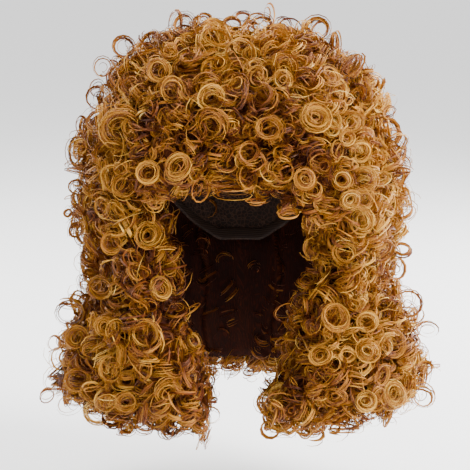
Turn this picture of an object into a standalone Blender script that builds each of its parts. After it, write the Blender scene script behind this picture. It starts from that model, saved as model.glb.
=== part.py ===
# Curly shoulder-length wig: a stretch cap with an elastic edge band, and ten sections of
# corkscrew locks that are sewn to the cap. Each section is a thick backing of hair whose
# outer side is raised into twisted locks that hang over each other in staggered rows.
#
# Frame: metres, +Z up, the face opening looks along -Y, and +X is the wearer's left. The
# origin is the top of the cap's inside, which rests on the crown of the head.

import math

import bmesh
import bpy
from mathutils import Vector

# The head that the cap fits
HEAD_WIDTH = 0.152
HEAD_LENGTH = 0.190
CROWN_DEPTH = 0.095  # crown down to the level where the head is widest

# The cap and its edge band
CAP_WALL = 0.0015
FOREHEAD_RIM = 0.050  # depths of the cap's rim below the crown
TEMPLE_RIM = 0.076
EAR_TAB_RIM = 0.108
EAR_RIM = 0.092
NAPE_RIM = 0.156
BAND_HEIGHT = 0.010
BAND_WALL = 0.0012
BAND_GAP = 0.0006

# How far the hair stands off the head, to the outside of its curls
TOP_VOLUME = 0.058
SIDE_VOLUME = 0.078
FRONT_VOLUME = 0.024
BACK_VOLUME = 0.060
FALL_LENGTH = 0.208  # hair below the level where the head is widest

# The hollow that the neck and chest leave below the head
NECK_WIDTH = 0.128
NECK_FRONT = 0.054
NECK_BACK = 0.072

# Where the sections part. Turns are degrees from the middle of the face towards +X
CROWN_END = 0.55  # in stations: 0 is the crown, 1 the widest level, 2 the tips
FRINGE_END_PARTING = 0.74  # the fringe gets longer from its parting to both temples
FRINGE_END_RIGHT = 0.93
FRINGE_END_LEFT = 1.0
PARTING_TURN = -10
TEMPLE_TURN = 50
SIDE_TURN = 70
BACK_TURN = 115
NAPE_TURN = 150
FULL_TURN = 360
SEAT_GAP = 0.0012  # hair backing to cap
SECTION_GAP = 0.0012  # between two sections, measured along the head
FRINGE_GAP = 0.0026  # the same beside the fringe, whose locks are finer

# Locks
LOCK_RELIEF = 0.015  # height of a lock over the valleys beside it
ROW_LENGTH = 0.052  # length along the hair before the next row of locks starts
LOCK_OVERLAP = 0.45  # share of a row that the tips above it hang over
LOCK_WAVE_TURN = 3.2  # sideways swing of the locks, in degrees
WAVE_LENGTH = 0.090  # length of one such swing
COIL_PITCH = 0.034
COIL_DEPTH = 0.22  # share of the relief
RAGGED_LENGTH = 0.024  # how much further down a lock's tip is than the valleys
TUCK_DEPTH = 0.014  # how far the tips curl in from the outside
FRINGE_RELIEF = 0.009
FRINGE_ROW_LENGTH = 0.030

# Mesh fineness
LOCK_COLUMNS = 4  # strips across one lock
LOCKS_ROUND = 24
OUTER_STEP = 0.0125  # between the rows of points outside, and inside
FRINGE_STEP = 0.0095
INNER_STEP = 0.019
INNER_TURN = 10
CROWN_CENTRE = 0.24  # station inside which the crown has half as many strips

CAP_RINGS = 9

# Colours
CROWN_COLOUR = (0.44, 0.20, 0.055)
FRINGE_COLOUR = (0.52, 0.25, 0.07)
FRONT_COLOUR = (0.58, 0.30, 0.09)
SIDE_COLOUR = (0.50, 0.24, 0.065)
BACK_COLOUR = (0.42, 0.19, 0.05)
HAIR_ROUGHNESS = 0.45
NET_COLOUR = (0.16, 0.08, 0.035)
NET_ROUGHNESS = 0.85
ELASTIC_COLOUR = (0.12, 0.06, 0.03)
ELASTIC_ROUGHNESS = 0.7

HALF_WIDTH = HEAD_WIDTH / 2
HALF_LENGTH = HEAD_LENGTH / 2
CROWN_ARC = (CROWN_DEPTH + TOP_VOLUME) * math.pi / 2
LAST_STATION = 2.0

# The cap's rim: turn in degrees against depth
CAP_RIM = (
    # turn, depth
    (0, FOREHEAD_RIM),
    (40, FOREHEAD_RIM + 0.30 * (TEMPLE_RIM - FOREHEAD_RIM)),
    (60, TEMPLE_RIM),
    (70, EAR_TAB_RIM),
    (80, EAR_TAB_RIM),
    (90, EAR_RIM),
    (110, EAR_RIM + 0.12 * (NAPE_RIM - EAR_RIM)),
    (140, EAR_RIM + 0.75 * (NAPE_RIM - EAR_RIM)),
    (160, NAPE_RIM),
    (180, NAPE_RIM),
)

# Outline of the hair: shares of the side, front and back volumes at each station
OUTLINE = (
    # station, side, front, back
    (0.00, 0.00, 0.00, 0.00),
    (0.25, 0.75, 0.05, 0.50),
    (0.50, 0.90, 0.25, 0.75),
    (0.67, 1.00, 0.60, 0.90),
    (0.83, 1.00, 0.90, 1.00),
    (1.00, 1.00, 1.00, 1.00),
    (1.16, 1.01, 0.95, 1.00),
    (1.28, 0.95, 0.90, 0.98),
    (1.37, 0.91, 0.90, 0.95),
    (1.46, 0.97, 0.90, 0.93),
    (1.55, 1.10, 0.85, 0.92),
    (1.64, 1.20, 0.80, 0.92),
    (1.72, 1.26, 0.75, 0.92),
    (1.90, 1.27, 0.65, 0.90),
    (2.00, 1.20, 0.50, 0.82),
)

# How far the hollow has narrowed from head to neck, and how far forward of the temple's
# line the front locks reach, as a share of that line's turn
HOLLOW = (
    # station, narrowing, front_edge
    (1.00, 0.00, 1.00),
    (1.20, 0.05, 1.00),
    (1.40, 0.35, 0.90),
    (1.55, 0.65, 0.78),
    (1.70, 0.88, 0.64),
    (1.80, 0.95, 0.50),
    (1.88, 1.00, 0.38),
    (2.00, 1.00, 0.36),
)

# The fringe's two sections: where each starts and ends, its number of locks, and the
# stations where its tips start on those two sides
FRINGE = (
    # name, start, end, locks, tips_stations
    ("fringe_locks_right", -TEMPLE_TURN, PARTING_TURN, 3, (FRINGE_END_RIGHT, FRINGE_END_PARTING)),
    ("fringe_locks_left", PARTING_TURN, TEMPLE_TURN, 4, (FRINGE_END_PARTING, FRINGE_END_LEFT)),
)

# The hanging sections behind the temples, all the way round
PANELS = (
    # name, start, end, locks, colour
    ("side_locks_left", SIDE_TURN, BACK_TURN, 3, SIDE_COLOUR),
    ("back_locks_left", BACK_TURN, NAPE_TURN, 3, BACK_COLOUR),
    ("back_locks_middle", NAPE_TURN, FULL_TURN - NAPE_TURN, 4, BACK_COLOUR),
    ("back_locks_right", FULL_TURN - NAPE_TURN, FULL_TURN - BACK_TURN, 3, BACK_COLOUR),
    ("side_locks_right", FULL_TURN - BACK_TURN, FULL_TURN - SIDE_TURN, 3, SIDE_COLOUR),
)
FRONT_LOCKS = 3


def read_table(table, at, column):
    """The value in a table's column, worked out in a straight line between its rows."""
    if at <= table[0][0]:
        return table[0][column]
    for low, high in zip(table, table[1:]):
        if at <= high[0]:
            share = (at - low[0]) / (high[0] - low[0])
            return low[column] + share * (high[column] - low[column])
    return table[-1][column]


def mix(a, b, share):
    return a + (b - a) * share


def spaced(start, end, step):
    """Values from start to end, about a step apart."""
    count = max(1, round(abs(end - start) / step))
    return [mix(start, end, i / count) for i in range(count + 1)]


def rim_depth(turn):
    folded = abs((turn + 180) % FULL_TURN - 180)
    return read_table(CAP_RIM, folded, 1)


def on_head(turn, polar, offset):
    """A point offset from the head's egg shape; polar is 0 at the crown, in radians."""
    angle = math.radians(turn)
    spread = math.sin(polar)
    return Vector((
        (HALF_WIDTH + offset) * spread * math.sin(angle),
        -(HALF_LENGTH + offset) * spread * math.cos(angle),
        (CROWN_DEPTH + offset) * math.cos(polar) - CROWN_DEPTH,
    ))


def hem_polar(turn, above):
    """The angle from the crown, in radians, of a line that far above the cap's rim."""
    return math.acos(1 - (rim_depth(turn) - above) / CROWN_DEPTH)


def hair_volume(turn, station):
    """How far the hair's outside stands off the head's egg, or off its widest level below."""
    angle = math.radians(turn)
    facing_front = math.cos(angle) > 0
    side_share = read_table(OUTLINE, station, 1)
    end_share = read_table(OUTLINE, station, 2 if facing_front else 3)
    end_volume = FRONT_VOLUME if facing_front else BACK_VOLUME
    side = SIDE_VOLUME * side_share
    end = end_volume * end_share
    if station < 1:
        side += TOP_VOLUME * (1 - side_share)
        end += TOP_VOLUME * (1 - end_share)
    return mix(end, side, math.sin(angle) ** 2)


def outer_point(turn, station, inset):
    """A point that far inside the hair's outline."""
    volume = hair_volume(turn, station) - inset
    if station <= 1:
        return on_head(turn, station * math.pi / 2, volume)
    angle = math.radians(turn)
    return Vector((
        (HALF_WIDTH + volume) * math.sin(angle),
        -(HALF_LENGTH + volume) * math.cos(angle),
        -CROWN_DEPTH - (station - 1) * FALL_LENGTH,
    ))


def inner_point(turn, station):
    """A point on the hair's inside: on the cap, and below it round the neck."""
    seat = CAP_WALL + SEAT_GAP
    if station <= 1:
        return on_head(turn, station * math.pi / 2, seat)
    angle = math.radians(turn)
    drop = (station - 1) * FALL_LENGTH
    narrowing = read_table(HOLLOW, station, 1)
    width = mix(HALF_WIDTH + seat, NECK_WIDTH / 2, narrowing)
    if math.cos(angle) > 0:
        length = mix(HALF_LENGTH + seat, NECK_FRONT, narrowing)
    else:
        level = min(1.0, drop / (CROWN_DEPTH + seat))
        length = max((HALF_LENGTH + seat) * math.sqrt(1 - level * level), NECK_BACK)
    return Vector((width * math.sin(angle), -length * math.cos(angle), -CROWN_DEPTH - drop))


def length_down(station):
    """Metres along the hair from the crown to a station."""
    return CROWN_ARC * min(station, 1) + FALL_LENGTH * max(station - 1, 0)


def station_at(length):
    if length <= CROWN_ARC:
        return length / CROWN_ARC
    return 1 + (length - CROWN_ARC) / FALL_LENGTH


def wave(station):
    """How far the locks, and the partings between the sections, swing sideways here."""
    return LOCK_WAVE_TURN * math.sin(2 * math.pi * length_down(station) / WAVE_LENGTH)


def across_lock(position, width):
    """Round profile of a lock; position counts locks, with a whole number at its middle."""
    off = abs(position - round(position)) * 2 / max(width, 0.01)
    return math.sqrt(max(0.0, 1 - off * off))


def lock_height(position, length, row_length):
    """Height of the locks, from 0 in the valleys to 1, that many locks round the head."""
    row = math.floor(length / row_length)
    share = length / row_length - row
    own = across_lock(position - 0.5 * (row % 2), 1.0) * mix(0.25, 1.0, min(1.0, share / 0.7))
    hanging = 0.0
    if share < LOCK_OVERLAP:
        left = 1 - share / LOCK_OVERLAP
        hanging = across_lock(position - 0.5 * ((row + 1) % 2), 0.35 + 0.65 * left) * left ** 0.35
    height = max(own, hanging)
    coil = math.sin(2 * math.pi * (length / COIL_PITCH + position))
    return height * (1 - COIL_DEPTH * (0.5 + 0.5 * coil))


def new_object(name, bm, colour, roughness):
    """Turns a bmesh into an object with its own material, its faces pointing out."""
    bmesh.ops.recalc_face_normals(bm, faces=bm.faces)
    mesh = bpy.data.meshes.new(name)
    bm.to_mesh(mesh)
    bm.free()
    obj = bpy.data.objects.new(name, mesh)
    obj.data.materials.append(make_material(name, colour, roughness))
    bpy.context.scene.collection.objects.link(obj)
    return obj


def make_material(name, colour, roughness):
    material = bpy.data.materials.new(name)
    material.use_nodes = True
    shader = material.node_tree.nodes["Principled BSDF"]
    shader.inputs["Base Color"].default_value = (*colour, 1.0)
    shader.inputs["Roughness"].default_value = roughness
    shader.inputs["Metallic"].default_value = 0.0
    material.diffuse_color = (*colour, 1.0)
    return material


def add_row(bm, points):
    return [bm.verts.new(point) for point in points]


def stitch(bm, first, second):
    """Triangles between two rows of points, which may differ in number."""
    i = j = 0
    while i < len(first) - 1 or j < len(second) - 1:
        ahead = (i + 1) * (len(second) - 1) <= (j + 1) * (len(first) - 1)
        if j == len(second) - 1 or (ahead and i < len(first) - 1):
            bm.faces.new((first[i], first[i + 1], second[j]))
            i += 1
        else:
            bm.faces.new((first[i], second[j + 1], second[j]))
            j += 1


def closed(ring):
    return ring + ring[:1]


def fan(bm, centre, ring):
    for one, other in zip(ring, ring[1:] + ring[:1]):
        bm.faces.new((centre, one, other))


def dome(bm, outer_rings, inner_rings):
    """A bowl's wall, mouth down. Each list of rings starts with the point at its top."""
    outside = [add_row(bm, ring) for ring in outer_rings[1:]]
    inside = [add_row(bm, ring) for ring in inner_rings[1:]]
    fan(bm, bm.verts.new(outer_rings[0]), outside[0])
    fan(bm, bm.verts.new(inner_rings[0]), inside[0])
    for rings in (outside, inside):
        for upper, lower in zip(rings, rings[1:]):
            stitch(bm, closed(upper), closed(lower))
    stitch(bm, closed(outside[-1]), closed(inside[-1]))


def make_cap():
    turns = range(0, FULL_TURN, INNER_TURN)

    def rings(offset):
        found = [on_head(0, 0.0, offset)]
        for i in range(1, CAP_RINGS):
            hem = [hem_polar(turn, BAND_HEIGHT) for turn in turns]
            found.append([on_head(t, top * i / (CAP_RINGS - 1), offset) for t, top in zip(turns, hem)])
        found.append([on_head(turn, hem_polar(turn, 0.0), offset) for turn in turns])
        return found

    bm = bmesh.new()
    dome(bm, rings(CAP_WALL), rings(0.0))
    return new_object("cap", bm, NET_COLOUR, NET_ROUGHNESS)


def make_edge_band():
    """The elastic band, inside the cap along its rim."""
    bm = bmesh.new()
    outside = -BAND_GAP
    inside = outside - BAND_WALL
    hem = []
    for turn in range(0, FULL_TURN, INNER_TURN):
        low, high = hem_polar(turn, 0.0), hem_polar(turn, BAND_HEIGHT)
        corners = ((high, outside), (low, outside), (low, inside), (high, inside))
        hem.append([bm.verts.new(on_head(turn, polar, offset)) for polar, offset in corners])
    for section, following in zip(hem, hem[1:] + hem[:1]):
        stitch(bm, closed(section), closed(following))
    return new_object("edge_band", bm, ELASTIC_COLOUR, ELASTIC_ROUGHNESS)


def make_crown():
    """The hair over the top of the head: a thick bowl on the cap, its locks spread like rays."""
    lengths = spaced(0.0, length_down(CROWN_END), OUTER_STEP)
    outside = [outer_point(0, 0.0, LOCK_RELIEF / 2)]
    for length in lengths[1:]:
        station = station_at(length)
        locks = LOCKS_ROUND // 2 if station < CROWN_CENTRE else LOCKS_ROUND
        columns = locks * LOCK_COLUMNS
        ring = []
        for column in range(columns):
            position = column / LOCK_COLUMNS
            inset = LOCK_RELIEF * (1 - lock_height(position, length, ROW_LENGTH))
            turn = FULL_TURN * column / columns + wave(station)
            ring.append(outer_point(turn, station, inset))
        outside.append(ring)
    inside = [inner_point(0, 0.0)]
    for length in spaced(0.0, length_down(CROWN_END), INNER_STEP)[1:]:
        station = station_at(length)
        turns = range(0, FULL_TURN, INNER_TURN)
        inside.append([inner_point(turn + wave(station), station) for turn in turns])
    bm = bmesh.new()
    dome(bm, outside, inside)
    return new_object("crown_locks", bm, CROWN_COLOUR, HAIR_ROUGHNESS)


def make_section(name, colour, limits, top, ends, locks, relief, row_length, step):
    """A curved slab of hair between two turns, with locks raised on its outside. Its two
    ends are the stations where the tips start on its first side and on its last."""
    columns = locks * LOCK_COLUMNS
    longest = length_down(max(ends)) - length_down(top)

    def end_length(across):
        return length_down(mix(*ends, across))

    def turn_at(station, across):
        low, high = limits(station)
        return mix(low, high, across)

    outside = []
    for down in spaced(0.0, 1.0, step / longest):
        row = []
        for column in range(columns + 1):
            across = column / columns
            length = mix(length_down(top), end_length(across), down)
            height = lock_height(0.5 + column / LOCK_COLUMNS, length, row_length)
            station = station_at(length)
            row.append(outer_point(turn_at(station, across), station, relief * (1 - height)))
        outside.append(row)
    tips = []
    for column in range(columns + 1):
        across = column / columns
        drop = RAGGED_LENGTH * across_lock(0.5 + column / LOCK_COLUMNS, 1.0) * relief / LOCK_RELIEF
        station = station_at(end_length(across) + step * 0.4 + drop)
        tuck = relief + TUCK_DEPTH * relief / LOCK_RELIEF
        tips.append(outer_point(turn_at(station, across), station, tuck))
    outside.append(tips)

    inside = []
    for down in spaced(0.0, 1.0, INNER_STEP / longest):
        row = []
        for across in spaced(0.0, 1.0, 1 / max(2, round(columns / 2.7))):
            station = station_at(mix(length_down(top), end_length(across), down))
            row.append(inner_point(turn_at(station, across), station))
        inside.append(row)

    bm = bmesh.new()
    outside = [add_row(bm, row) for row in outside]
    inside = [add_row(bm, row) for row in inside]
    for rows in (outside, inside):
        for upper, lower in zip(rows, rows[1:]):
            stitch(bm, upper, lower)
    stitch(bm, outside[0], inside[0])
    stitch(bm, outside[-1], inside[-1])
    for edge in (0, -1):
        stitch(bm, [row[edge] for row in outside], [row[edge] for row in inside])
    return new_object(name, bm, colour, HAIR_ROUGHNESS)


def half_gap(width=SECTION_GAP):
    return math.degrees(width / 2 / HALF_LENGTH)


def even_limits(start, end, gap):
    return lambda station: (start + gap + wave(station), end - gap + wave(station))


def front_limits(side):
    """Turns of the front locks: they sweep in over the chest below the face."""
    gap = half_gap()

    def limits(station):
        near = TEMPLE_TURN * read_table(HOLLOW, station, 2)
        if side > 0:
            return near + gap + wave(station), SIDE_TURN - gap + wave(station)
        return -SIDE_TURN + gap + wave(station), -near - gap + wave(station)

    return limits


def clear_scene():
    for obj in list(bpy.data.objects):
        bpy.data.objects.remove(obj)


def main():
    clear_scene()
    make_cap()
    make_edge_band()
    make_crown()

    top = station_at(length_down(CROWN_END) + 2 * SECTION_GAP)
    for name, start, end, locks, tips_stations in FRINGE:
        make_section(
            name, FRINGE_COLOUR, even_limits(start, end, half_gap(FRINGE_GAP)), top, tips_stations,
            locks, FRINGE_RELIEF, FRINGE_ROW_LENGTH, FRINGE_STEP,
        )
    tips_station = station_at(length_down(LAST_STATION) - RAGGED_LENGTH - OUTER_STEP * 0.4)
    ends = (tips_station, tips_station)
    for name, side in (("front_locks_right", -1), ("front_locks_left", 1)):
        make_section(
            name, FRONT_COLOUR, front_limits(side), top, ends, FRONT_LOCKS,
            LOCK_RELIEF, ROW_LENGTH, OUTER_STEP,
        )
    for name, start, end, locks, colour in PANELS:
        make_section(
            name, colour, even_limits(start, end, half_gap()), top, ends, locks,
            LOCK_RELIEF, ROW_LENGTH, OUTER_STEP,
        )


main()
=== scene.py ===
import math

import bpy
import numpy as np
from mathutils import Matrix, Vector
from mathutils.bvhtree import BVHTree


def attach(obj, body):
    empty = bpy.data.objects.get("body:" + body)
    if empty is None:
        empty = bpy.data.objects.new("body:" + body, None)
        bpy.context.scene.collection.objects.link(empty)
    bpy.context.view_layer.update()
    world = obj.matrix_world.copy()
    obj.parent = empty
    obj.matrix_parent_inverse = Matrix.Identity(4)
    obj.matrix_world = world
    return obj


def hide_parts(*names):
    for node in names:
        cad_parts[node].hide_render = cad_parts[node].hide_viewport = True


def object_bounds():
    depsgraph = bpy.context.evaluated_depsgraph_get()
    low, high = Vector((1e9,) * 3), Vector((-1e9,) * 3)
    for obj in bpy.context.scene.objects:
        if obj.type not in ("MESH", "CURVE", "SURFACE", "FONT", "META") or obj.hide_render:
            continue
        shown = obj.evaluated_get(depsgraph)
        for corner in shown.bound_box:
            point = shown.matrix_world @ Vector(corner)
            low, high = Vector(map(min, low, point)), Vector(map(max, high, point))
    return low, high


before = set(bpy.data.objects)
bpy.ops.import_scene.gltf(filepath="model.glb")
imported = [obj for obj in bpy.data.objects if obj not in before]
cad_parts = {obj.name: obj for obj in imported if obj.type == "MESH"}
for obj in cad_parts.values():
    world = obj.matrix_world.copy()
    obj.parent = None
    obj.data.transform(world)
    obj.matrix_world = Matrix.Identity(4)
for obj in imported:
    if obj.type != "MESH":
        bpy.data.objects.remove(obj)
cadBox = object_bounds()
print("frame loaded:", sorted(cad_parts))

# Camera: a place in the opening of the wig, in metres, and the pixel where it shows
camera = {
    "aimPoint": (0.0, -0.085, -0.112),
    "aimPixel": (241, 228),
    "elevation": 12.0,
    "distance": 1.5,
    "fieldWidth": 0.409,  # what the picture's width spans at the aim point
    "pixels": 470,
    "sensor": 36,  # millimetres
    "farthest": 50,
}


def placeCamera(c):
    lift = math.radians(c["elevation"])
    back = Vector((0, -math.cos(lift), math.sin(lift)))
    up = Vector((0, math.sin(lift), math.cos(lift)))
    right = Vector((1, 0, 0))
    scale = c["fieldWidth"] / c["pixels"]
    half = c["pixels"] / 2
    target = Vector(c["aimPoint"])
    target += right * (half - c["aimPixel"][0]) * scale + up * (c["aimPixel"][1] - half) * scale
    data = bpy.data.cameras.new("portraitCamera")
    data.sensor_width = c["sensor"]
    data.lens = c["sensor"] * c["distance"] / c["fieldWidth"]
    data.clip_end = c["farthest"]
    eye = bpy.data.objects.new("portraitCamera", data)
    bpy.context.scene.collection.objects.link(eye)
    eye.location = target + back * c["distance"]
    eye.rotation_euler = (math.pi / 2 - lift, 0, 0)
    bpy.context.scene.camera = eye
    return eye.location.copy(), right, up, back, scale / c["distance"]


cameraPlace, viewRight, viewUp, viewBack, pixelSlope = placeCamera(camera)
perPixel = camera["fieldWidth"] / camera["pixels"]
print("camera placed")


def pixelRay(x, y):
    half = camera["pixels"] / 2
    way = -viewBack + viewRight * (x - half) * pixelSlope - viewUp * (y - half) * pixelSlope
    return way.normalized()


def pixelOf(place):
    away = Vector(place) - cameraPlace
    scale = -away.dot(viewBack) * pixelSlope
    half = camera["pixels"] / 2
    return half + away.dot(viewRight) / scale, half - away.dot(viewUp) / scale


class Wire:
    # a socket of a material, whose arithmetic adds Math nodes
    def __init__(self, tree, socket=None):
        self.tree = tree
        self.socket = socket

    def add(self, kind, settings, sockets, out=0):
        node = self.tree.nodes.new(kind)
        for name, value in settings.items():
            if name == "stops":
                ramp = node.color_ramp.elements
                while len(ramp) < len(value):
                    ramp.new(1.0)
                for stop, (place, colour) in zip(ramp, value):
                    stop.position = place
                    stop.color = (*colour, 1.0)
            else:
                setattr(node, name, value)
        for name, value in sockets.items():
            if isinstance(value, Wire):
                self.tree.links.new(value.socket, node.inputs[name])
            else:
                node.inputs[name].default_value = value
        return Wire(self.tree, node.outputs[out])

    def feed(self, socket):
        self.tree.links.new(self.socket, socket)

    def math(self, operation, other):
        return self.add("ShaderNodeMath", {"operation": operation}, {0: self, 1: other})

    def __add__(self, other):
        return self.math("ADD", other)

    def __sub__(self, other):
        return self.math("SUBTRACT", other)

    def __mul__(self, other):
        return self.math("MULTIPLY", other)


def newFinish(name):
    finish = bpy.data.materials.new(name)
    finish.use_nodes = True
    return finish, finish.node_tree.nodes["Principled BSDF"].inputs, Wire(finish.node_tree)


# Every hair surface carries a map. Root to tip runs across it, and up it the tones go
# from the darkest to the palest strands. Towards the roots the tone is lowered as painted shade.
curlFinish = {
    "tones": (
        (0.00, (0.0200, 0.0022, 0.0016)),
        (0.18, (0.0780, 0.0105, 0.0032)),
        (0.34, (0.1950, 0.0465, 0.0040)),
        (0.52, (0.3420, 0.1270, 0.0085)),
        (0.72, (0.5500, 0.2600, 0.0240)),
        (0.88, (0.7400, 0.4400, 0.0850)),
        (1.00, (0.8400, 0.5900, 0.2000)),
    ),
    "streaks": (7.0, 70.0),  # along a lock and across it
    "streakEdges": (0.36, 0.64),
    "streakDepth": 0.38,
    # painted shade: tone taken off towards the roots, deep in the hair mass
    "rootShade": 0.24,
    "rootsEnd": 0.7,  # share of the way to the tip where the painted root shade ends
    "roughness": 0.46,
    "roughnessSpread": 0.20,
    "shine": 0.40,
    "shineTint": (1.0, 0.80, 0.58),
    "bump": 0.25,
    "bumpHeight": 0.0004,
}
# The wefts' finish is near-black: painted shade for the hair mass between and below the curls
shadeWeftFinish = {
    "tones": (
        (0.00, (0.0110, 0.0018, 0.0018)),
        (0.50, (0.0380, 0.0072, 0.0034)),
        (1.00, (0.1300, 0.0330, 0.0070)),
    ),
    "streaks": (11.0, 80.0),
    "streakEdges": (0.3, 0.7),
    "streakDepth": 0.8,
    "rootShade": 0.1,
    "rootsEnd": 0.7,
    "roughness": 0.72,
    "roughnessSpread": 0.2,
    "shine": 0.15,
    "shineTint": (1.0, 0.8, 0.6),
    "bump": 0.6,
    "bumpHeight": 0.0004,
}


def makeHairFinish(name, o):
    finish, shader, wire = newFinish(name)
    place = wire.add("ShaderNodeUVMap", {"uv_map": "OFBake"}, {})
    stretched = wire.add(
        "ShaderNodeVectorMath", {"operation": "MULTIPLY"}, {0: place, 1: (*o["streaks"], 1.0)}
    )
    streaks = wire.add(
        "ShaderNodeTexNoise",
        {"noise_dimensions": "2D"},
        {"Vector": stretched, "Scale": 1.0, "Detail": 2.0, "Roughness": 0.5},
    )
    low, high = o["streakEdges"]
    streaks = wire.add("ShaderNodeMapRange", {}, {"Value": streaks, "From Min": low, "From Max": high})
    along = wire.add("ShaderNodeSeparateXYZ", {}, {"Vector": place}, out="X")
    across = wire.add("ShaderNodeSeparateXYZ", {}, {"Vector": place}, out="Y")
    # painted shade: darker towards the roots
    rootShading = wire.add(
        "ShaderNodeMapRange",
        {},
        {"Value": along, "From Max": o["rootsEnd"], "To Min": o["rootShade"], "To Max": 0.0},
    )
    tone = across + (streaks - 0.5) * o["streakDepth"] - rootShading
    colour = wire.add("ShaderNodeValToRGB", {"stops": o["tones"]}, {"Fac": tone})
    colour.feed(shader["Base Color"])
    (streaks * o["roughnessSpread"] + o["roughness"]).feed(shader["Roughness"])
    bump = wire.add(
        "ShaderNodeBump", {}, {"Height": streaks, "Strength": o["bump"], "Distance": o["bumpHeight"]}
    )
    bump.feed(shader["Normal"])
    shader["Specular IOR Level"].default_value = o["shine"]
    shader["Specular Tint"].default_value = (*o["shineTint"], 1.0)
    return finish


def unit(v):
    return v / np.maximum(np.linalg.norm(v, axis=-1, keepdims=True), 1e-12)


# Strands stay within this room round the CAD's box: a share of each side, and metres
room = {"share": 0.028, "more": 0.009}
boxLow, boxHigh = (np.array(corner) for corner in cadBox)
roomLow = boxLow - (boxHigh - boxLow) * room["share"] - room["more"]
roomHigh = boxHigh + (boxHigh - boxLow) * room["share"] + room["more"]

hairMap = {"low": 0.02, "high": 0.98}  # what a ribbon uses of the map, both ways


class Tress:
    # gathers the shells of one piece before they become a mesh. Each is its points, the
    # corners of its faces, and the corners' places on the map
    def __init__(self, shells=()):
        self.shells = list(shells)

    def triangles(self):
        return sum(len(shell[1]) * (shell[1].shape[1] - 2) for shell in self.shells)

    def ribbon(self, path, across, half, tone, toneSpan, along):
        # a ribbon that leaves the room is left out
        if (path < roomLow).any() or (path > roomHigh).any():
            return
        rows = np.stack([path - across * half[:, None], path + across * half[:, None]], 1)
        middle = min(max(tone, hairMap["low"] + toneSpan), hairMap["high"] - toneSpan)
        tones = np.array([middle - toneSpan, middle + toneSpan])
        i = np.arange(len(path) - 1)
        steps = ((i, 0), (i, 1), (i + 1, 1), (i + 1, 0))
        corners = np.stack([a * 2 + b for a, b in steps], 1)
        places = np.stack([np.stack([along[a], np.full(len(i), tones[b])], 1) for a, b in steps], 1)
        self.shells.append((rows.reshape(-1, 3), corners, places))

    def finish(self, name, material):
        mesh = bpy.data.meshes.new(name)
        starts = np.cumsum([0] + [len(shell[0]) for shell in self.shells])
        points = np.concatenate([shell[0] for shell in self.shells])
        corners = np.concatenate([shell[1] + start for shell, start in zip(self.shells, starts)])
        places = np.concatenate([shell[2] for shell in self.shells])
        loopStarts = np.arange(len(corners), dtype=np.int32) * corners.shape[1]
        mesh.vertices.add(len(points))
        mesh.vertices.foreach_set("co", points.astype(np.float32).ravel())
        mesh.loops.add(corners.size)
        mesh.loops.foreach_set("vertex_index", corners.astype(np.int32).ravel())
        mesh.polygons.add(len(corners))
        mesh.polygons.foreach_set("loop_start", loopStarts)
        mesh.update(calc_edges=True)
        layer = mesh.uv_layers.new(name="OFBake")
        layer.uv.foreach_set("vector", places.astype(np.float32).ravel())
        layer.active_render = True
        mesh.materials.append(material)
        mesh.shade_smooth()
        piece = bpy.data.objects.new(name, mesh)
        bpy.context.scene.collection.objects.link(piece)
        return piece


wholeTurn = 6.3  # a full circle and a little more, for random starts of waves
# starts of the random draws. The last three get the section's number added
seeds = {
    "pocketWaves": 5,
    "pocketStarts": 6,
    "rings": 7,
    "loops": 31,
    "curls": 100,
    "deep": 150,
    "wefts": 200,
}
curlShape = {
    "segments": 12,  # in a turn of an outer curl
    "deepSegments": 10,
    "flattest": 0.80,  # narrow side of the flattest curl, as a share of its wide side
    "reach": 0.22,  # share of a curl's length that comes out of the mass
    "rootSize": 0.45,  # share of the radius that it starts with there
    "widening": 1.25,  # how fast it grows from the inner share to the whole radius
    "turnSpread": 0.25,  # how far strands stray round the curl, radians
    "spread": (0.0014, 0.0018),  # and in and out of it and along its axis, metres
    "fillingSize": (0.45, 0.9),  # radius of the strands inside the others, as a share
    # waves along a curl: how far they stray, and how many a turn has
    "sizeWave": (0.05, 0.5),
    "axisWave": (0.0008, 0.7),
    "rollWave": (0.4, 0.5),
    "frizz": 0.0016,
    "frizzWaves": (3, 11),
    # share of the width at the end, and share of the length over which a whole width is gained
    "rootTaper": (0.3, 0.12),
    "tipTaper": (0.08, 0.20),
}
lockShape = {
    "half": 0.00062,  # half the usual width, metres
    "widths": (0.7, 1.35),
    "thinnest": 0.0,  # share of the width that no taper takes
    "loose": 0.55,  # its straying and frizz as shares of a strand's
    "frizz": 0.35,
    "roll": (0.3, 1.2),
    "tone": (0.01, 0.06),  # shift and spread
    "toneSpan": 0.045,
}
strandShape = {
    "half": 0.00031,
    "widths": (0.7, 1.5),
    "thinnest": 0.3,
    "loose": 1.0,
    "frizz": 1.0,
    "roll": (-1.3, 1.3),
    "tone": (0.01, 0.09),
    "toneSpan": 0.015,
}


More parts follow.
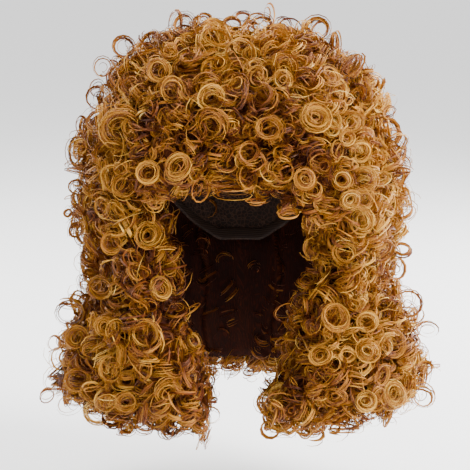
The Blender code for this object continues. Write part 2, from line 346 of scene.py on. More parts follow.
def addCurl(
    tress, rng, middle, axis, root, radius, pitch, turns, tone,
    locks=3, strands=5, thick=1.0, inner=0.7, frizz=1.0, fluff=1.0, filling=0.35,
    segments=curlShape["segments"],
):
    # The lock comes out of the hair at root and winds outwards along the axis. Its first
    # turn has the inner share of the radius, and its last turn the whole of it. Filling is
    # the share of strands that wind inside the others.
    c = curlShape
    axis = unit(axis)
    # any direction that doesn't run along the axis
    helper = np.array([0.3, 0.2, 1.0]) if abs(axis[2]) < 0.8 else np.array([1.0, 0.2, 0.1])
    first = unit(np.cross(axis, helper))
    second = np.cross(axis, first)
    s = np.linspace(0, 1, int(turns * segments) + 2)
    hand = 1 if rng.random() < 0.5 else -1
    begin = rng.random() * 2 * np.pi
    squeeze = rng.uniform(c["flattest"], 1.0)
    lean = rng.uniform(0, np.pi)
    out = np.clip(s / c["reach"], 0, 1)
    out = (out * out * (3 - 2 * out))[:, None]
    centre = root + (middle - root) * out
    widening = inner + (1 - inner) * np.clip(s * c["widening"], 0, 1)
    rooted = c["rootSize"] + (1 - c["rootSize"]) * out[:, 0]
    rootTaper = c["rootTaper"][0] + s / c["rootTaper"][1]
    tipTaper = c["tipTaper"][0] + (1 - s) / c["tipTaper"][1]
    taper = np.clip(np.minimum(rootTaper, tipTaper), 0.0, 1.0)
    along = hairMap["low"] + (hairMap["high"] - hairMap["low"]) * s

    def wave(name, angle, share=1.0):
        amount, rate = c[name]
        return amount * share * np.sin(angle * rate + rng.uniform(0, wholeTurn))

    for k in range(locks + strands):
        kind = lockShape if k < locks else strandShape
        loose = kind["loose"]
        angle = begin + hand * 2 * np.pi * turns * s + loose * rng.normal(0, c["turnSpread"])
        size = radius * widening * (1 - (1 - squeeze) * np.cos(angle - lean) ** 2)
        if kind is strandShape and rng.random() < filling:
            size = size * rng.uniform(*c["fillingSize"])
        size = size + loose * rng.normal(0, c["spread"][0] * fluff)
        size = size * (1 + wave("sizeWave", angle, loose)) * rooted
        high = pitch * turns * (s - 0.5) + loose * rng.normal(0, c["spread"][1] * fluff)
        high = high + wave("axisWave", angle, loose)
        outward = first * np.cos(angle)[:, None] + second * np.sin(angle)[:, None]
        path = centre + outward * size[:, None] + axis * high[:, None]
        swing = np.sin(s[:, None] * rng.uniform(*c["frizzWaves"], 3) + rng.uniform(0, wholeTurn, 3))
        path = path + swing * rng.normal(0, c["frizz"] * frizz * kind["frizz"], 3)
        roll = rng.uniform(*kind["roll"]) + wave("rollWave", angle)
        across = axis * np.cos(roll)[:, None] + outward * np.sin(roll)[:, None]
        half = kind["half"] * rng.uniform(*kind["widths"]) * thick
        half = half * (kind["thinnest"] + (1 - kind["thinnest"]) * taper)
        tress.ribbon(path, across, half, tone + rng.normal(*kind["tone"]), kind["toneSpan"], along)


headMiddle = np.array([0.0, 0.005, -0.095])


def awayFromHead(p):
    away = p - headMiddle
    away[:, 2] = np.maximum(away[:, 2], 0)
    return unit(away)


def readSolid(name):
    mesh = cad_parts[name].data
    mesh.calc_loop_triangles()
    points = np.empty(len(mesh.vertices) * 3, np.float32)
    mesh.vertices.foreach_get("co", points)
    corners = np.empty(len(mesh.loop_triangles) * 3, np.int32)
    mesh.loop_triangles.foreach_get("vertices", corners)
    points = points.reshape(-1, 3).astype(float)
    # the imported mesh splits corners, so those within a hundredth of a millimetre are joined
    cells = np.round(points * 1e5).astype(np.int64)
    first, back = np.unique(cells, axis=0, return_index=True, return_inverse=True)[1:]
    corners = back.ravel()[corners.reshape(-1, 3)]
    whole = (corners != np.roll(corners, 1, axis=1)).all(axis=1)
    return points[first], corners[whole]


# Tone is the usual place on the hair's map, size multiplies the curls' radius, rings is the
# share of curls seen end-on, and inset is how far below the curls the wefts lie, which are dark with painted
# shade.
sections = {
    "crown_locks": {"slot": "crown_hair", "tone": 0.49, "size": 1.00, "rings": 0.52, "inset": 0.018},
    "fringe_locks_right": {"slot": "fringe_hair", "tone": 0.46, "size": 0.66, "rings": 0.30, "inset": 0.007},
    "fringe_locks_left": {"slot": "fringe_hair", "tone": 0.48, "size": 0.66, "rings": 0.30, "inset": 0.007},
    "front_locks_right": {"slot": "front_hair", "tone": 0.51, "size": 0.95, "rings": 0.52, "inset": 0.017},
    "front_locks_left": {"slot": "front_hair", "tone": 0.56, "size": 0.95, "rings": 0.52, "inset": 0.017},
    "side_locks_right": {"slot": "side_hair", "tone": 0.49, "size": 1.00, "rings": 0.52, "inset": 0.019},
    "side_locks_left": {"slot": "side_hair", "tone": 0.53, "size": 1.00, "rings": 0.52, "inset": 0.019},
    "back_locks_right": {"slot": "back_hair", "tone": 0.47, "size": 1.05, "rings": 0.52, "inset": 0.019},
    "back_locks_middle": {"slot": "back_hair", "tone": 0.46, "size": 1.05, "rings": 0.52, "inset": 0.019},
    "back_locks_left": {"slot": "back_hair", "tone": 0.47, "size": 1.05, "rings": 0.52, "inset": 0.019},
}
solids = {name: readSolid(name) for name in sections}
print("solids read:", len(solids))

pockets = {
    "size": 0.0120,
    "waves": 7,
    "share": 0.62,  # the higher, the fewer dark hollows between the curls
    "edge": 0.35,  # the lower, the sooner a hollow is at its deepest
}
pocketWaves = np.random.default_rng(seeds["pocketWaves"]).normal(0, 1, (pockets["waves"], 3))
pocketWaves = pocketWaves / pockets["size"] / 3**0.5
pocketStarts = np.random.default_rng(seeds["pocketStarts"]).uniform(0, wholeTurn, pockets["waves"])


def pocketDepth(place):
    # 0 on the raised clumps of curls, up to 1 in the dark hollows between them
    noise = np.sin(pocketWaves @ place + pocketStarts).sum() / pockets["waves"] ** 0.5
    return float(np.clip((noise - pockets["share"]) / pockets["edge"], 0, 1))


outsideZone, openingZone, insideZone, tipZone = range(4)
zones = {
    # how much a triangle's own direction agrees with the zone's
    "outside": 0.3,
    "inside": -0.3,
    "tip": -0.6,
    "opening": 0.45,
    "insideTop": -0.125,  # height below which the inside shows
    "tipHeight": 0.05,
    "openingTop": -0.06,
    "openingFront": 0.35,  # how far the edge beside the opening also looks to the front
}


def openingSide(points):
    # the way a front section's edge beside the opening looks
    return unit(np.array([-np.sign(points[:, 0].mean()), -zones["openingFront"], 0.0]))


def findZones(name, points, middle, normal, away):
    facing = np.einsum("ij,ij->i", normal, away)
    zone = np.full(len(middle), -1)
    zone[facing > zones["outside"]] = outsideZone
    zone[(facing < zones["inside"]) & (middle[:, 2] < zones["insideTop"])] = insideZone
    tipTop = points[:, 2].min() + zones["tipHeight"]
    zone[(normal[:, 2] < zones["tip"]) & (middle[:, 2] < tipTop)] = tipZone
    if name.startswith("front_locks"):
        beside = (normal @ openingSide(middle) > zones["opening"]) & (middle[:, 2] < zones["openingTop"])
        zone[(zone != outsideZone) & beside] = openingZone
    return zone


growth = {
    "front": 0.0150,  # spacing between the outer curls where the photograph looks
    "rest": 0.0185,
    "inside": 0.0230,
    "frontFacing": -0.05,  # a triangle that turns to the camera more than this is in front
    "candidates": 14,  # places tried for each curl
    "closest": 0.84,  # share of the spacing that two curls keep at least
    "awayShare": 0.65,  # how far a curl turns from its triangle's direction to the head's
}


def growPoints(name, rng, taken, spread=1.0):
    # places that keep their spacing, the curls' outward directions and their zones
    points, corners = solids[name]
    a, b, c = (points[corners[:, k]] for k in range(3))
    cross = np.cross(b - a, c - a)
    area = np.linalg.norm(cross, axis=1) / 2
    normal = unit(cross)
    middle = (a + b + c) / 3
    away = awayFromHead(middle)
    zone = findZones(name, points, middle, normal, away)
    seen = normal @ np.array(viewBack) > growth["frontFacing"]
    spacing = np.where(seen, growth["front"], growth["rest"])
    spacing = np.where(zone == insideZone, growth["inside"], spacing)
    spacing = spacing * ((1 + sections[name]["size"]) / 2) * spread
    weight = np.where(zone >= 0, area / spacing**2, 0)
    total = int(weight.sum() * growth["candidates"])
    picks = rng.choice(len(area), total, p=weight / weight.sum())
    u, v = rng.random(total), rng.random(total)
    flip = u + v > 1
    u[flip], v[flip] = 1 - u[flip], 1 - v[flip]
    places = a[picks] + (b - a)[picks] * u[:, None] + (c - a)[picks] * v[:, None]
    kept = []
    near = np.zeros((total + len(taken), 3))
    near[: len(taken)] = taken
    used = len(taken)
    for i in range(total):
        if used:
            gaps = near[:used] - places[i]
            closest = spacing[picks[i]] * growth["closest"]
            if np.einsum("ij,ij->i", gaps, gaps).min() < closest**2:
                continue
        kept.append(i)
        near[used] = places[i]
        used += 1
    chosen = picks[kept]
    share = growth["awayShare"]
    soft = unit((1 - share) * normal[chosen] + share * away[chosen])
    outward = np.where((zone[chosen] == outsideZone)[:, None], soft, normal[chosen])
    return places[kept], outward, zone[chosen]


falling = {
    "crownDown": 0.4,  # above the origin the hair also runs away from the crown's middle
    "crownBack": 0.01,
    "least": 0.15,  # with less than this left of a direction, the plain one counts
    "plain": (0.0, -1.0, 0.2),
}


def fallDirection(place, outward):
    down = np.array([0.0, 0.0, -1.0])
    if place[2] > 0.0:
        fromCrown = np.array([place[0], place[1] - falling["crownBack"], 0.0])
        down = down * falling["crownDown"] + unit(fromCrown)
    along = down - outward * np.dot(down, outward)
    if np.linalg.norm(along) < falling["least"]:
        along = np.array(falling["plain"])
    return unit(along)


# Painted light and shade: where the photograph's hair is darker or paler than its
# surroundings, the tone is lowered or raised. Pixel, radius in pixels, and change of tone
lightAndShadePatches = (
    (262, 112, 48, -0.10), (195, 140, 30, -0.04), (150, 400, 55, -0.08), (345, 400, 50, -0.10),
    (300, 310, 24, -0.10), (180, 300, 20, -0.08), (392, 130, 48, 0.11), (355, 105, 40, 0.06),
    (95, 105, 30, 0.05), (250, 28, 60, 0.09), (395, 250, 35, 0.05), (85, 320, 35, 0.04),
    (160, 132, 28, -0.07), (174, 386, 24, -0.12), (62, 390, 28, -0.12), (352, 424, 26, -0.16),
)
lightAndShadeBack = 0.03  # no patch behind this


def paintedLightAndShade(place):
    if place[1] > lightAndShadeBack:
        return 0.0
    x, y = pixelOf(place)
    total = 0
    for px, py, wide, change in lightAndShadePatches:
        total += change * math.exp(-((x - px) ** 2 + (y - py) ** 2) / wide**2)
    return total


# Rings that stand out in the photograph: pixel, diameter in pixels, tone, and whether the
# ring is open with a dark middle (0), filled with inner strands (1), or a thin one (-1)
ringsSeen = (
    # x, y, across, tone, filled
    (240, 53, 31, 0.66, 0), (265, 94, 22, 0.66, -1), (316, 118, 31, 0.68, 1), (351, 122, 26, 0.66, 0),
    (360, 151, 23, 0.76, 1), (343, 180, 20, 0.60, 0), (364, 180, 26, 0.66, 1), (350, 199, 20, 0.66, 1),
    (362, 220, 28, 0.68, 1), (345, 252, 24, 0.62, 0), (367, 321, 28, 0.70, 1), (335, 318, 30, 0.60, 0),
    (347, 354, 18, 0.62, 0), (368, 351, 26, 0.72, 1), (321, 355, 26, 0.64, 1), (366, 401, 23, 0.84, 0),
    (394, 394, 28, 0.72, 1), (171, 90, 27, 0.56, 1), (211, 97, 28, 0.68, 1), (159, 71, 24, 0.58, 0),
    (213, 124, 34, 0.54, 1), (121, 128, 42, 0.60, 1), (125, 186, 25, 0.66, 0), (148, 173, 26, 0.66, 0),
    (179, 167, 28, 0.62, 1), (112, 243, 22, 0.58, 0), (148, 235, 30, 0.64, 1), (101, 287, 26, 0.60, 0),
    (160, 288, 28, 0.66, 1), (106, 326, 24, 0.66, 1), (77, 338, 24, 0.58, 1), (97, 413, 29, 0.92, 0),
    (77, 380, 28, 0.58, 0), (166, 390, 26, 0.58, 1), (126, 402, 22, 0.60, 1), (285, 66, 30, 0.60, 1),
    (226, 162, 22, 0.54, -1), (250, 152, 22, 0.56, -1), (283, 171, 24, 0.54, -1), (305, 180, 24, 0.58, 1),
    (268, 128, 26, 0.54, 0),
)
ringLook = {
    "backmost": 0.06,  # no ring on hair farther back
    "hairShare": 0.20,  # how far it turns from the camera to the hair's own direction
    "tilt": 0.24,
    "raised": 0.0045,
    "rootDepth": 0.016,
    "rootSpread": 0.003,
    "size": 0.94,  # less than the diameter that shows, as strands stray past it
    "pitch": 0.0042,
    "darker": 0.07,
    "frizz": 0.9,
    # locks, strands, turns, inner, fluff and filling
    "kinds": {
        0: (3, 9, 2.1, 0.84, 0.5, 0.25),
        1: (2, 15, 2.1, 0.80, 1.2, 0.75),
        -1: (1, 4, 1.5, 0.95, 0.4, 0.0),
    },
}
# Loose loops outside the outline: pixel, width and height in pixels, number of strands
loopsSeen = (
    # x, y, wide, high, strands
    (124, 47, 24, 24, 3), (103, 67, 20, 20, 2), (99, 98, 26, 26, 2), (108, 97, 20, 26, 2),
    (175, 23, 13, 27, 1), (205, 20, 18, 16, 2), (243, 17, 20, 16, 2), (268, 14, 12, 24, 1),
    (256, 20, 18, 14, 2), (290, 28, 24, 22, 2), (317, 29, 24, 22, 5), (335, 44, 10, 28, 5),
    (338, 73, 16, 14, 1), (356, 76, 9, 20, 3), (377, 112, 14, 14, 1), (391, 166, 18, 18, 3),
    (355, 96, 22, 28, 6), (386, 133, 28, 30, 6), (262, 24, 22, 18, 3), (232, 24, 22, 18, 3),
    (401, 192, 16, 10, 1), (402, 232, 14, 14, 1), (402, 250, 20, 16, 3), (397, 269, 20, 26, 3),
    (408, 304, 28, 28, 4), (428, 330, 22, 16, 1), (424, 366, 18, 12, 2), (423, 396, 24, 22, 2),
    (335, 428, 28, 26, 2), (308, 408, 14, 12, 2), (77, 188, 20, 18, 2), (76, 230, 18, 18, 3),
    (77, 152, 14, 34, 4), (68, 213, 9, 9, 1), (87, 283, 16, 26, 2), (69, 313, 28, 28, 3),
    (53, 343, 16, 18, 1), (47, 395, 16, 14, 1), (208, 381, 18, 18, 2), (201, 408, 18, 18, 2),
    (168, 432, 20, 16, 2), (82, 125, 10, 24, 1), (234, 192, 38, 13, 4), (247, 177, 20, 26, 3),
    (256, 202, 24, 6, 2), (222, 182, 26, 8, 2), (288, 214, 22, 10, 3), (200, 190, 18, 26, 2),
)
openLoops = {"least": 17, "share": 0.48}  # pixels across, and the share of that kept clear


def inLoop(place):
    # whether light should shine through an outer loop here
    x, y = pixelOf(place)
    for px, py, wide, high in (row[:4] for row in loopsSeen):
        across = min(wide, high)
        if across > openLoops["least"] and (x - px) ** 2 + (y - py) ** 2 < (across * openLoops["share"]) ** 2:
            return True
    return False


owners = []
allPoints, allCorners = [], []
for name, (points, corners) in solids.items():
    allCorners.append(corners + sum(len(p) for p in allPoints))
    allPoints.append(points)
    owners += [name] * len(corners)
hairSurface = BVHTree.FromPolygons(
    np.concatenate(allPoints).tolist(), np.concatenate(allCorners).tolist(), all_triangles=True
)
tresses = {name: Tress() for name in sections}


def addRings(rows, look, rng):
    places = []
    for x, y, across, tone, filled in rows:
        way = pixelRay(x, y)
        hit, normal, face = hairSurface.ray_cast(cameraPlace, way)[:3]
        if hit is None or hit[1] > look["backmost"]:
            print("no hair behind the ring at", x, y)
            continue
        towards = -np.array(way)
        axis = towards + look["hairShare"] * np.array(normal) + rng.normal(0, look["tilt"], 3)
        middle = np.array(hit) + towards * look["raised"]
        root = middle - towards * look["rootDepth"] + rng.normal(0, look["rootSpread"], 3)
        locks, strands, turns, inner, fluff, filling = look["kinds"][filled]
        addCurl(
            tresses[owners[face]], rng, middle, axis, root, across / 2 * perPixel * look["size"],
            look["pitch"], turns, tone - look["darker"], locks=locks, strands=strands, inner=inner,
            frizz=look["frizz"], fluff=fluff, filling=filling,
        )
        places.append(middle)
    return np.array(places)


taken = addRings(ringsSeen, ringLook, np.random.default_rng(seeds["rings"]))
print("rings of the photograph:", len(taken))

outerCurls = {
    "radius": (0.0068, 0.0128),
    "toneSpread": 0.09,
    "toneRange": (0.15, 0.78),
    "ringPitch": (0.0020, 0.0045),
    "ringTilt": (0.10, 0.40, 0.40),  # usual downwards, and spread downwards and sideways
    "ringSink": 0.0030,
    "ringInner": (0.2, 0.6, 0.8, 0.9),
    "corkPitch": (0.0070, 0.0115),
    "corkTilt": (0.1, 0.3, 0.6),  # the same outwards and sideways
    "corkSink": 0.75,  # shares of the radius
    "corkInner": 0.85,
    "edgeSink": 0.55,  # the same beside the opening and inside
    "turns": (1.6, 2.4),
    "sinkSpread": (-0.0055, 0.0045),
    "hollowSink": 0.5,  # share of the inset
    "hollowShade": 0.14,
    "openingShade": 0.08,
    "insideDarker": 0.14,
    "insideSize": 0.8,
    "overWefts": (0.001, 0.004),  # how far a curl's middle stays above the wefts
    "root": (0.009, 0.006),  # below the curl's middle and up along the hair
    "frontFacing": -0.1,  # as for the spacing
    "front": (3, 5),  # locks and strands
    "back": (2, 4),
    "inside": (2, 2),
}
deepCurls = {
    "spacing": 0.92,  # as a multiple of the outer curls'
    "place": (0.0080, 0.0145),  # how far down they lie
    "thinShare": 0.5,  # the same in the fringe and beside the opening
    "hollowSink": 0.003,
    "moreRings": 0.25,
    # painted shade: the deep curls below the outer ones are darker
    "darker": 0.03,
    "turns": 1.7,
    "thick": 1.7,
    "strands": (2, 2),
}
strayStrands = {
    "count": 2,  # across each outer curl
    "raised": 0.002,
    "size": (0.8, 1.6),
    "pitch": (0.004, 0.012),
    "turns": (0.7, 1.3),
    "tone": (0.06, 0.1),
    "palest": 0.80,
}


def growCurls(name, rng, deep):
    o, section = outerCurls, sections[name]
    places, outward, zone = growPoints(
        name, rng, np.zeros((0, 3)) if deep else taken, deepCurls["spacing"] if deep else 1.0
    )
    for place, out, where in zip(places, outward, zone):
        inside, atEdge = where == insideZone, where in (insideZone, openingZone)
        fall = fallDirection(place, out)
        side = np.cross(out, fall)
        radius = rng.uniform(*o["radius"]) * section["size"]
        # random tone, plus the painted light and shade of the patches
        tone = section["tone"] + rng.normal(0, o["toneSpread"]) + paintedLightAndShade(place)
        if deep and inside:
            continue
        if not deep and not inside and inLoop(place):
            continue
        hollow = 0 if inside else pocketDepth(place)
        if where == openingZone:
            # painted shade: curls beside the face opening are darker
            tone -= o["openingShade"]
        if inside:
            radius *= o["insideSize"]
            # painted shade: curls on the inside of the wig are darker
            tone -= o["insideDarker"]
        if rng.random() < section["rings"] + deepCurls["moreRings"] * deep:
            usual, down, sideways = o["ringTilt"]
            axis = out + fall * rng.normal(usual, down) + side * rng.normal(0, sideways)
            pitch = rng.uniform(*o["ringPitch"])
            turns = rng.uniform(*o["turns"])
            sink = o["ringSink"]
            inner = rng.choice(o["ringInner"])
        else:
            usual, outwards, sideways = o["corkTilt"]
            axis = fall + out * rng.normal(usual, outwards) + side * rng.normal(0, sideways)
            pitch = rng.uniform(*o["corkPitch"])
            turns = rng.uniform(*o["turns"])
            sink = radius * o["corkSink"]
            inner = o["corkInner"]
        if atEdge:
            sink = radius * o["edgeSink"]
        sink += rng.uniform(*o["sinkSpread"]) + o["hollowSink"] * section["inset"] * hollow
        # painted shade: curls in the hollows between clumps are darker
        tone -= o["hollowShade"] * hollow
        locks, strands = o["front"] if out @ np.array(viewBack) > o["frontFacing"] else o["back"]
        if inside:
            locks, strands = o["inside"]
        if deep:
            thin = name.startswith("fringe") or where == openingZone
            share = deepCurls["thinShare"] if thin else 1.0
            sink = share * rng.uniform(*deepCurls["place"]) + deepCurls["hollowSink"] * hollow
            # painted shade: deep curls are darker
            tone -= deepCurls["darker"]
            turns = deepCurls["turns"]
            locks, strands = deepCurls["strands"]
        if not atEdge:
            sink = min(sink, section["inset"] - rng.uniform(*o["overWefts"]))
        middle = place - out * sink
        root = middle - out * o["root"][0] - fall * o["root"][1]
        addCurl(
            tresses[name], rng, middle, axis, root, radius, pitch, turns,
            np.clip(tone, *o["toneRange"]), locks=locks, strands=strands, inner=inner,
            thick=deepCurls["thick"] if deep else 1.0,
            segments=curlShape["deepSegments" if deep else "segments"],
        )
        if deep or inside:
            continue
        for stray in range(strayStrands["count"]):
            axis = rng.normal(0, 1, 3)
            size = radius * rng.uniform(*strayStrands["size"])
            pitch = rng.uniform(*strayStrands["pitch"])
            turns = rng.uniform(*strayStrands["turns"])
            paler = min(tone + rng.normal(*strayStrands["tone"]), strayStrands["palest"])
            addCurl(
                tresses[name], rng, middle + out * strayStrands["raised"], axis, root, size, pitch,
                turns, paler, locks=0, strands=1,
            )
    return len(places)


for number, name in enumerate(sections):
    outer = growCurls(name, np.random.default_rng(seeds["curls"] + number), False)
    deep = growCurls(name, np.random.default_rng(seeds["deep"] + number), True)
    print(name, "places for curls", outer, "and", deep, "below, triangles", tresses[name].triangles())

# Loose loops: thin, darker, of a few strands, coming out of the nearest hair. Those below
# the fringe hang in front of the opening
seenLoops = {
    "fringePlace": (0.0, -0.110, -0.060),
    "fringePixels": (195, 290, 150, 225),  # left, right, top and bottom
    "roundest": 0.98,  # even a round loop is tipped a little
    "rootDepth": 0.3,  # share of the way from the loop to the hair
    "pitch": 0.0012,
    "turns": 1.6,
    "tone": 0.46,
    "thick": 1.5,
    "inner": 0.9,
    "frizz": 0.35,
}
# The same, scattered all round
moreLoops = {
    "around": 150,
    "radius": (0.0060, 0.0120),
    "out": (0.002, 0.0095),
    "rootDepth": 0.006,
    "pitch": (0.001, 0.006),
    "turns": (1.1, 1.9),
    "tone": 0.46,
    "toneSpread": 0.1,
    "thick": 1.1,
    "inner": 0.9,
    "frizz": 0.5,
}


def addSeenLoops(rows, o, rng):
    left, right, top, bottom = o["fringePixels"]
    eye = np.array(cameraPlace)
    for x, y, wide, high, strands in rows:
        way = np.array(pixelRay(x, y))
        hanging = left < x < right and top < y < bottom
        anchor = np.array(o["fringePlace"]) if hanging else headMiddle
        target = eye + way * np.dot(anchor - eye, way)
        found = hairSurface.find_nearest(target)
        near, face = np.array(found[0]), found[2]
        tilt = math.acos(min(wide, high) / max(wide, high) * o["roundest"])
        turned = np.array(viewRight) if high > wide else np.array(viewUp)
        axis = -way * math.cos(tilt) + turned * math.sin(tilt)
        addCurl(
            tresses[owners[face]], rng, target, axis, near + (near - target) * o["rootDepth"],
            max(wide, high) / 2 * perPixel, o["pitch"], o["turns"], o["tone"],
            locks=(strands + 1) // 2, strands=strands, thick=o["thick"], inner=o["inner"],
            frizz=o["frizz"],
        )


def addMoreLoops(names, o, rng):
    for name in names:
        places, outward, zone = growPoints(name, rng, np.zeros((0, 3)))
        outside = np.flatnonzero(zone != insideZone)
        for i in rng.choice(outside, o["around"] // len(names), replace=False):
            radius = rng.uniform(*o["radius"])
            middle = places[i] + outward[i] * rng.uniform(*o["out"])
            axis = np.cross(outward[i], rng.normal(0, 1, 3))
            root = places[i] - outward[i] * o["rootDepth"]
            addCurl(
                tresses[name], rng, middle, axis, root, radius, rng.uniform(*o["pitch"]),
                rng.uniform(*o["turns"]), o["tone"] + rng.normal(0, o["toneSpread"]), locks=1,
                strands=1, thick=o["thick"], inner=o["inner"], frizz=o["frizz"],
            )


loopRng = np.random.default_rng(seeds["loops"])
addSeenLoops(loopsSeen, seenLoops, loopRng)
addMoreLoops([name for name in sections if not name.startswith("fringe")], moreLoops, loopRng)
print("loose loops done")

weftShape = {
    "cuts": 1,  # times that each triangle is cut in four
    "outsideEdge": 2.0,  # how soon a triangle that turns outwards counts as outside
    "openingEdge": (0.3, 2.5),  # where that begins beside the opening, and how soon it is whole
    "openingInset": 0.011,
    "tipInset": 0.014,
    "tipReach": 0.035,
    "longFall": -0.2,  # height that the sections with tips hang below
    "lump": 0.0020,
    "lumpSize": 0.014,
    "lumpWaves": 6,
    "round": 0.14,  # metres from the head's middle to the hair, for the map
    "tile": (0.060, 0.045),
    "mapRange": (0.03, 0.94),  # edge of the map, and the width used
    "waver": (0.13, 60),
    # painted shade: the inside faces of the wefts keep only this share of the tones, so they are darker
    "insideTone": 0.30,
}


def cutTriangles(points, corners):
    # each triangle in four, at the middles of its edges
    pairs = np.concatenate([corners[:, ends] for ends in ([0, 1], [1, 2], [2, 0])])
    edges, back = np.unique(np.sort(pairs, axis=1), axis=0, return_inverse=True)
    ab, bc, ca = np.split(back.ravel() + len(points), 3)
    a, b, c = corners.T
    quarters = ((a, ab, ca), (ab, b, bc), (ca, bc, c), (ab, bc, ca))
    points = np.concatenate([points, (points[edges[:, 0]] + points[edges[:, 1]]) / 2])
    return points, np.concatenate([np.stack(quarter, 1) for quarter in quarters])


def highestShare(shares, corners, count):
    # a point takes the highest share of its triangles, so no edge is left standing
    highest = np.zeros(count)
    for k in range(3):
        np.maximum.at(highest, corners[:, k], shares)
    return highest


def mirrored(tiles):
    # runs to and fro over the map from tile to tile
    edge, width = weftShape["mapRange"]
    return np.abs(tiles % 2 - 1) * width + edge


def addWefts(name, rng):
    # the mass between the curls, dark with painted shade: the section's solid, drawn in below them, and also
    # beside the opening and at the tips, where only curls hang
    o = weftShape
    points, corners = solids[name]
    for cut in range(o["cuts"]):
        points, corners = cutTriangles(points, corners)
    a, b, c = (points[corners[:, k]] for k in range(3))
    normals = unit(np.cross(b - a, c - a))
    away = awayFromHead(points)
    faceAway = unit(away[corners].sum(axis=1))
    facing = np.einsum("ij,ij->i", normals, faceAway)
    outside = highestShare(np.clip(facing * o["outsideEdge"], 0, 1), corners, len(points))
    if name.startswith("front_locks"):
        side = openingSide(points)
        least, edge = o["openingEdge"]
        beside = highestShare(np.clip((normals @ side - least) * edge, 0, 1), corners, len(points))
        below = points[:, 2] < zones["openingTop"]
        points = points - side * (beside * below * o["openingInset"])[:, None]
    lowest, reach = points[:, 2].min(), o["tipReach"]
    tips = np.clip((lowest + reach - points[:, 2]) / reach, 0, 1) * (lowest < o["longFall"])
    points = points + np.array([0, 0, 1]) * (tips * o["tipInset"])[:, None]
    lumps = np.zeros(len(points))
    for wave in range(o["lumpWaves"]):
        way = rng.normal(0, 1, 3) / o["lumpSize"]
        lumps += np.sin(points @ way + rng.uniform(0, wholeTurn)) / o["lumpWaves"] ** 0.5
    points = points - away * (outside * (sections[name]["inset"] + o["lump"] * lumps))[:, None]
    around = np.arctan2(points[:, 0], headMiddle[1] - points[:, 1]) * o["round"]
    long, wide = o["tile"]
    much, often = o["waver"]
    along = mirrored(points[:, 2] / long + much * np.sin(around * often))
    across = mirrored(around / wide) * (o["insideTone"] + (1 - o["insideTone"]) * outside)
    return Tress([(points, corners, np.stack([along, across], 1)[corners])])


curlHair = makeHairFinish("curledHair", curlFinish)
weftHair = makeHairFinish("weftHair", shadeWeftFinish)


def placePiece(tress, title, name, finish):
    piece = tress.finish(title, finish)
    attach(piece, "root")
    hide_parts(name)
    print(title, tress.triangles())
    return tress.triangles()


total = 0
for number, (name, tress) in enumerate(tresses.items()):
    words = name.replace("_locks", "").split("_")
    title = words[0] + "".join(word.capitalize() for word in words[1:])
    total += placePiece(tress, title + "Curls", name, curlHair)
    wefts = addWefts(name, np.random.default_rng(seeds["wefts"] + number))
    total += placePiece(wefts, title + "Wefts", name, weftHair)
print("hair triangles in all:", total)

capFinish = {
    "colour": (0.022, 0.009, 0.005),
    "pale": (0.070, 0.030, 0.016),
    "roughness": 0.8,
    "bump": (0.6, 0.0005),  # strength, and height in metres
    "cell": 260.0,
    "threadEdges": (0.02, 0.14),
}
bandFinish = {
    "colour": (0.016, 0.007, 0.004),
    "pale": (0.050, 0.024, 0.014),
    "roughness": 0.65,
    "bump": (0.5, 0.0004),
    "ribs": 190.0,
    "uneven": 0.4,
}


def netPattern(wire, place, o):
    cells = wire.add(
        "ShaderNodeTexVoronoi", {"feature": "DISTANCE_TO_EDGE"}, {"Vector": place, "Scale": o["cell"]}
    )
    low, high = o["threadEdges"]
    return wire.add(
        "ShaderNodeMapRange",
        {},
        {"Value": cells, "From Min": low, "From Max": high, "To Min": 1.0, "To Max": 0.0},
    )


def ribPattern(wire, place, o):
    return wire.add(
        "ShaderNodeTexWave",
        {"wave_type": "BANDS", "bands_direction": "Z"},
        {"Vector": place, "Scale": o["ribs"], "Distortion": o["uneven"], "Detail": 1.0},
        out=1,  # the wave's height
    )


def makeClothFinish(name, makePattern, o):
    finish, shader, wire = newFinish(name)
    place = wire.add("ShaderNodeTexCoord", {}, {}, out="Object")
    pattern = makePattern(wire, place, o)
    colour = wire.add(
        "ShaderNodeMix",
        {"data_type": "RGBA"},
        {"Factor": pattern, "A": (*o["colour"], 1), "B": (*o["pale"], 1)},
        out=2,  # the mixed colour
    )
    colour.feed(shader["Base Color"])
    strength, height = o["bump"]
    bump = wire.add("ShaderNodeBump", {}, {"Height": pattern, "Strength": strength, "Distance": height})
    bump.feed(shader["Normal"])
    shader["Roughness"].default_value = o["roughness"]
    return finish


smoothing = {"weld": 0.00002, "levels": 2}


def smoothCopy(node, name, material):
    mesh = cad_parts[node].data.copy()
    mesh.name = name
    mesh.materials.clear()
    mesh.materials.append(material)
    copy = bpy.data.objects.new(name, mesh)
    bpy.context.scene.collection.objects.link(copy)
    weld = copy.modifiers.new("weld", "WELD")
    weld.merge_threshold = smoothing["weld"]
    rounded = copy.modifiers.new("rounded", "SUBSURF")
    rounded.levels = rounded.render_levels = smoothing["levels"]
    mesh.shade_smooth()
    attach(copy, "root")
    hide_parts(node)


smoothCopy("cap", "netCap", makeClothFinish("stretchNet", netPattern, capFinish))
smoothCopy("edge_band", "elasticBand", makeClothFinish("wovenElastic", ribPattern, bandFinish))
print("cap and band done")

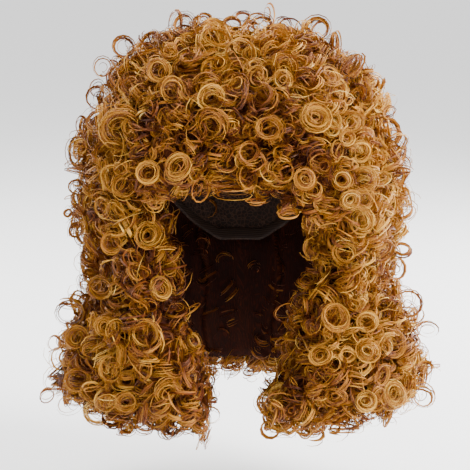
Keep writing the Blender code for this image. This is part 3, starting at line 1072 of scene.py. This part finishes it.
studio = {
    "floorHeight": -0.40,
    "floorSize": 14,
    "floorColour": (0.90, 0.90, 0.90),
    "floorRoughness": 0.9,
    "world": (1.0, 1.0, 1.0),
    "worldStrength": 0.73,
    "sun": (-46, 0, 60),  # degrees that the sun is tipped from straight above, and turned
    "sunSoftness": 24.0,
    "sunStrength": 4.0,
    # name, place, aim, size, power
    "lamps": (
        ("fill", (-1.2, -1.5, 0.6), (0, 0, -0.1), 1.2, 8.0),
        ("side", (1.4, -0.7, 0.4), (0, 0, -0.1), 0.9, 30.0),
        ("top", (0.1, 0.4, 1.5), (0, 0, -0.1), 0.9, 42.0),
        ("rimRight", (1.2, 0.8, 0.3), (0, 0, -0.1), 0.9, 58.0),
        ("rimLeft", (-1.2, 0.9, 0.5), (0, 0, -0.1), 0.9, 24.0),
    ),
}


def makeStudio(s):
    bpy.ops.mesh.primitive_plane_add(size=s["floorSize"], location=(0, 0, s["floorHeight"]))
    floor = bpy.context.object
    floor.name = "studioFloor"
    finish, shader = newFinish("paleFloor")[:2]
    shader["Base Color"].default_value = (*s["floorColour"], 1)
    shader["Roughness"].default_value = s["floorRoughness"]
    floor.data.materials.append(finish)
    world = bpy.data.worlds.new("studioWorld")
    bpy.context.scene.world = world
    world.use_nodes = True
    light = world.node_tree.nodes["Background"].inputs
    light["Color"].default_value = (*s["world"], 1)
    light["Strength"].default_value = s["worldStrength"]
    for name, place, aim, size, power in s["lamps"]:
        data = bpy.data.lights.new(name, "AREA")
        data.size = size
        data.energy = power
        lamp = bpy.data.objects.new(name, data)
        lamp.location = place
        lamp.rotation_euler = (Vector(aim) - Vector(place)).to_track_quat("-Z", "Y").to_euler()
        bpy.context.scene.collection.objects.link(lamp)
    data = bpy.data.lights.new("key", "SUN")
    data.angle = math.radians(s["sunSoftness"])
    data.energy = s["sunStrength"]
    sun = bpy.data.objects.new("key", data)
    forward, roll, turn = s["sun"]
    sun.rotation_euler = (math.radians(-forward), math.radians(roll), math.radians(turn))
    bpy.context.scene.collection.objects.link(sun)


makeStudio(studio)
print("floor and lights done")
